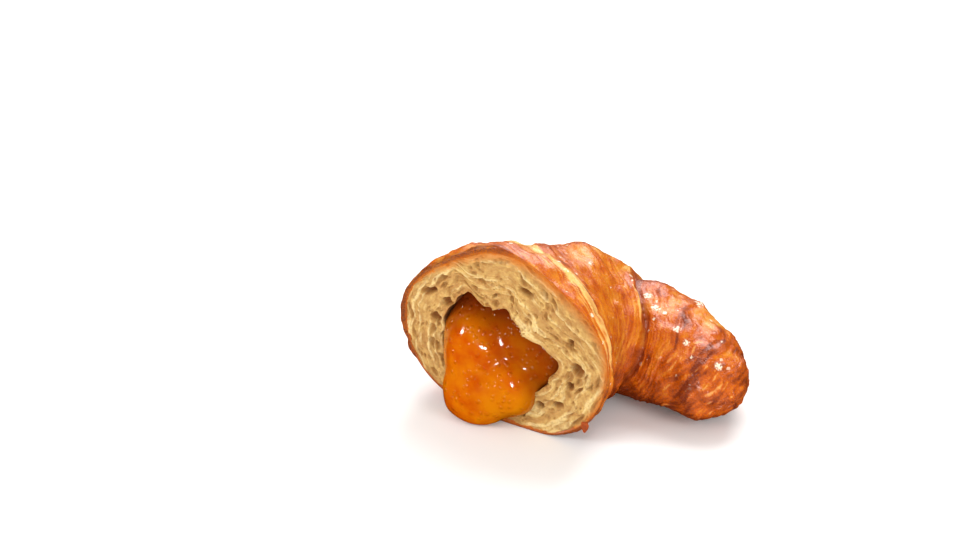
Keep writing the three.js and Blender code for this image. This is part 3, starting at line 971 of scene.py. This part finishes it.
def apricot_jam():
    """Sieved apricot jam: clear, deep orange and wet, with painted shade where it lies back deeper
    in the pocket and painted light on its edge and low lobe.
    """
    material, tree = new_material("glossy_apricot_jam")
    place_mm = painted_place(tree)
    x = add(tree, "ShaderNodeSeparateXYZ", {0: place_mm}, output="X")
    y, z = x.node.outputs["Y"], x.node.outputs["Z"]
    cut_plane = ORIGIN.y / MM
    pocket_shade_and_depth = add(tree, "ShaderNodeMapRange", {
        "Value": y, "From Min": cut_plane - 4, "From Max": cut_plane + 3.5})
    cloud = add(tree, "ShaderNodeTexNoise", {"Vector": place_mm, "Scale": 0.2, "Detail": 3.0})
    cloud = add(tree, "ShaderNodeMapRange", {"Value": cloud, "From Min": 0.35, "From Max": 0.65})
    # painted shade where the jam lies back, deeper, in the pocket; painted light on its thin edge
    # and low lobe
    colour = paint(tree, srgb("#c86a00"), [
        (cloud, "#b84a00", 1.0), (painted_jam_light(tree, x, z), "#d88c08", 1.0),
        (pocket_shade_and_depth, "#6e2500", 1.0)])
    pulp = add(tree, "ShaderNodeTexVoronoi", {"Vector": place_mm, "Scale": 0.5}, output="Distance")
    pulp = add(tree, "ShaderNodeMapRange", {
        "Value": pulp, "From Min": 0.0, "From Max": 0.45, "To Min": 1.0, "To Max": 0.0,
    }, interpolation_type="SMOOTHSTEP")
    bump = add(tree, "ShaderNodeBump", {"Height": pulp, "Strength": 0.8, "Distance": 0.45 * MM})
    close_material(tree, add(tree, "ShaderNodeBsdfPrincipled", {
        "Base Color": colour, "Roughness": 0.12, "Normal": bump, "IOR": 1.45, "Coat Weight": 0.6,
        "Coat Roughness": 0.03, "Subsurface Weight": 0.35, "Subsurface Radius": (3.0, 1.2, 0.3),
        "Subsurface Scale": MM}))
    return material


def matte_white():
    """The plain pale surface that the croissant lies on."""
    material, tree = new_material("matte_white_board")
    speck = add(tree, "ShaderNodeTexNoise", {
        "Vector": add(tree, "ShaderNodeTexCoord", output="Object"), "Scale": 30.0})
    rough = add(tree, "ShaderNodeMapRange", {"Value": speck, "To Min": 0.8, "To Max": 0.95})
    close_material(tree, add(tree, "ShaderNodeBsdfPrincipled", {
        "Base Color": srgb("#fbfaf8"), "Roughness": rough}))
    return material


# ---------------------------------------------------------------- studio

FLOOR_HALF = 4.0


def make_floor():
    """A wide pale floor."""
    corners = np.array([(-1, -1, 0), (1, -1, 0), (1, 1, 0), (-1, 1, 0)]) * FLOOR_HALF
    floor = make_mesh("floor", corners, [(0, 1, 2, 3)])
    floor.data.materials.append(matte_white())
    floor.visible_glossy = False


FACE_MIDDLE = 30  # its height over the table, in millimetres


def aim(thing, place_at, target):
    """Stands a light or a camera somewhere and turns it to look at a target."""
    look = (Vector(target) - Vector(place_at)).to_track_quat("-Z", "Y")
    thing.matrix_world = Matrix.Translation(Vector(place_at)) @ look.to_matrix().to_4x4()


def make_light(name, place_at, size, power):
    """A white, square soft box that looks at the croissant."""
    light = bpy.data.lights.new(name, "AREA")
    light.shape = "SQUARE"
    light.size = size
    light.energy = power
    lamp = bpy.data.objects.new(name, light)
    bpy.context.scene.collection.objects.link(lamp)
    aim(lamp, place_at, (0, 0, FACE_MIDDLE * MM))
    return lamp


def make_studio():
    """Bright, soft light from all round, strongest from above and behind."""
    make_light("overhead_soft_box", (-0.1, 0.5, 0.65), 0.58, 6.4)
    make_light("front_soft_box", (-0.45, -0.7, 0.55), 0.5, 2.6).visible_glossy = False
    make_light("side_soft_box", (0.75, -0.2, 0.45), 0.4, 2.5).visible_glossy = False
    make_light("left_spark", (-0.75, -0.55, 0.3), 0.16, 2.8)
    make_light("right_spark", (0.25, -0.8, 0.2), 0.12, 2.0)
    make_light("back_sheen", (-0.4, 0.8, 0.5), 0.8, 2.4).visible_diffuse = False
    world = bpy.data.worlds.new("studio")
    world.use_nodes = True
    background = world.node_tree.nodes["Background"]
    background.inputs["Color"].default_value = (1, 1, 1, 1)
    background.inputs["Strength"].default_value = 0.55
    world.cycles_visibility.glossy = False
    bpy.context.scene.world = world
    bpy.context.scene.view_settings.view_transform = "Standard"


CAMERA_AZIMUTH = math.radians(30)  # round from the front towards +x
CAMERA_ELEVATION = math.radians(30)
CAMERA_DISTANCE = 0.65
CAMERA_LENS, SENSOR_WIDTH = 85, 36
FACE_RIGHT, FACE_DOWN = 0.0229, 0.0667  # the face's middle from the view's centre, in view widths


def make_camera():
    """The camera looks down on the cut face from its right."""
    data = bpy.data.cameras.new("camera")
    data.lens = CAMERA_LENS
    data.sensor_width = SENSOR_WIDTH
    camera = bpy.data.objects.new("camera", data)
    bpy.context.scene.collection.objects.link(camera)
    back = Vector((math.sin(CAMERA_AZIMUTH) * math.cos(CAMERA_ELEVATION),
                   -math.cos(CAMERA_AZIMUTH) * math.cos(CAMERA_ELEVATION),
                   math.sin(CAMERA_ELEVATION)))
    right = Vector((math.cos(CAMERA_AZIMUTH), math.sin(CAMERA_AZIMUTH), 0))
    up = back.cross(right)
    width = SENSOR_WIDTH / CAMERA_LENS * CAMERA_DISTANCE
    face_middle = ORIGIN + Vector((0, 0, FACE_MIDDLE * MM))
    aim_at = face_middle - right * FACE_RIGHT * width + up * FACE_DOWN * width
    aim(camera, aim_at + back * CAMERA_DISTANCE, aim_at)
    bpy.context.scene.camera = camera


# ---------------------------------------------------------------- the whole

make_camera()
make_studio()
make_floor()

crust_finish = baked_crust()
crust = make_crust(crust_finish)
flake = make_flake(crust_finish)
crumb = make_crumb(open_crumb())
jam = make_jam(apricot_jam())

for piece, slot in ((crust, "crust"), (flake, "crust"), (crumb, "crumb"), (jam, "apricot_jam")):
    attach(piece, "root")
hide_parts("baked_pastry")
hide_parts("apricot_jam")
